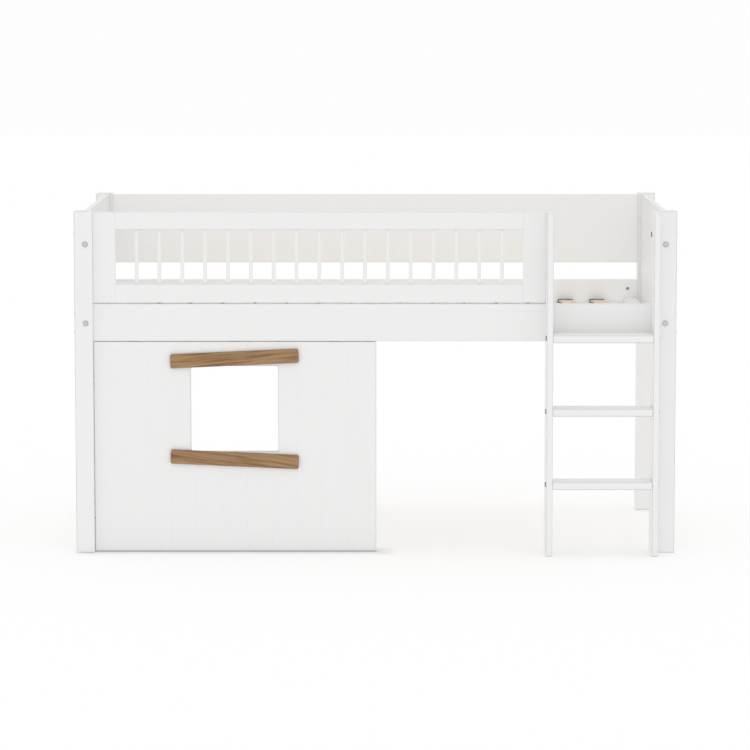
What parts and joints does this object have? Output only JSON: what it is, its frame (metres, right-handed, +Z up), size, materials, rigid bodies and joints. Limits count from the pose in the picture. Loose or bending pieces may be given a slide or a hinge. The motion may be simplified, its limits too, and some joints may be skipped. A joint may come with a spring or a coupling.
{
  "type": "cabin bed",
  "caption": "White wooden cabin bed with an upright ladder, a barred guard, a slatted base and a grooved play panel with a window below.",
  "frame": {"origin": "middle of the bounding box in X and Y, on the floor", "axes": "+X along the bed towards the ladder end, +Y from the ladder side to the wall side, +Z up"},
  "size_m": [2.116, 1.093, 1.21],
  "materials": {
    "white_lacquer": "satin white lacquer",
    "oak": "oiled oak, grain along the lath",
    "pale_wood": "birch plywood, untreated",
    "beech": "plain dowel rod",
    "zinc_steel": "bright zinc",
    "bracket_steel": "zinc-plated sheet",
    "brass": "plain",
    "holder_plastic": "matt brown-grey",
    "glide_plastic": "matt"
  },
  "bodies": {
    "root": {"post_front_left": "white_lacquer", "post_front_right": "white_lacquer", "post_back_left": "white_lacquer", "post_back_right": "white_lacquer", "leg_front_left": "white_lacquer", "leg_front_right": "white_lacquer", "leg_back_left": "white_lacquer", "leg_back_right": "white_lacquer", "end_panel_left": "white_lacquer", "end_panel_right": "white_lacquer", "bed_side_front": "white_lacquer", "bed_side_back": "white_lacquer", "guard_top_rail": "white_lacquer", "guard_bottom_rail": "white_lacquer", "guard_end_left": "white_lacquer", "guard_end_right": "white_lacquer", "guard_bars": "white_lacquer", "back_guard_board": "white_lacquer", "ladder_left_stile": "white_lacquer", "ladder_right_stile": "white_lacquer", "rung_low": "white_lacquer", "rung_middle": "white_lacquer", "rung_top": "white_lacquer", "cabin_panel": "white_lacquer", "window_lath_upper": "oak", "window_lath_lower": "oak", "slat_ledger_front": "white_lacquer", "slat_ledger_back": "white_lacquer", "slat_holders": "holder_plastic", "bed_slats": "pale_wood", "end_rail_left": "white_lacquer", "end_rail_right": "white_lacquer", "side_bolts": "zinc_steel", "side_barrel_nuts": "zinc_steel", "end_panel_bolts": "zinc_steel", "end_panel_barrel_nuts": "zinc_steel", "guard_bolts": "zinc_steel", "guard_barrel_nuts": "zinc_steel", "guard_post_dowel": "beech", "guard_frame_dowels": "beech", "ladder_post_bolt": "zinc_steel", "ladder_cap_nut": "zinc_steel", "ladder_post_screw": "zinc_steel", "rung_bolts": "zinc_steel", "rung_barrel_nuts": "zinc_steel", "rung_dowels": "beech", "stile_screws": "zinc_steel", "ledger_screws": "zinc_steel", "end_rail_screws": "zinc_steel", "panel_brackets": "bracket_steel", "bracket_screws": "zinc_steel", "panel_dowels": "beech", "lath_screws": "zinc_steel", "leg_studs": "zinc_steel", "leg_insert_nuts": "brass", "leg_dowels": "beech", "foot_glides": "glide_plastic"}
  },
  "joints": []
}
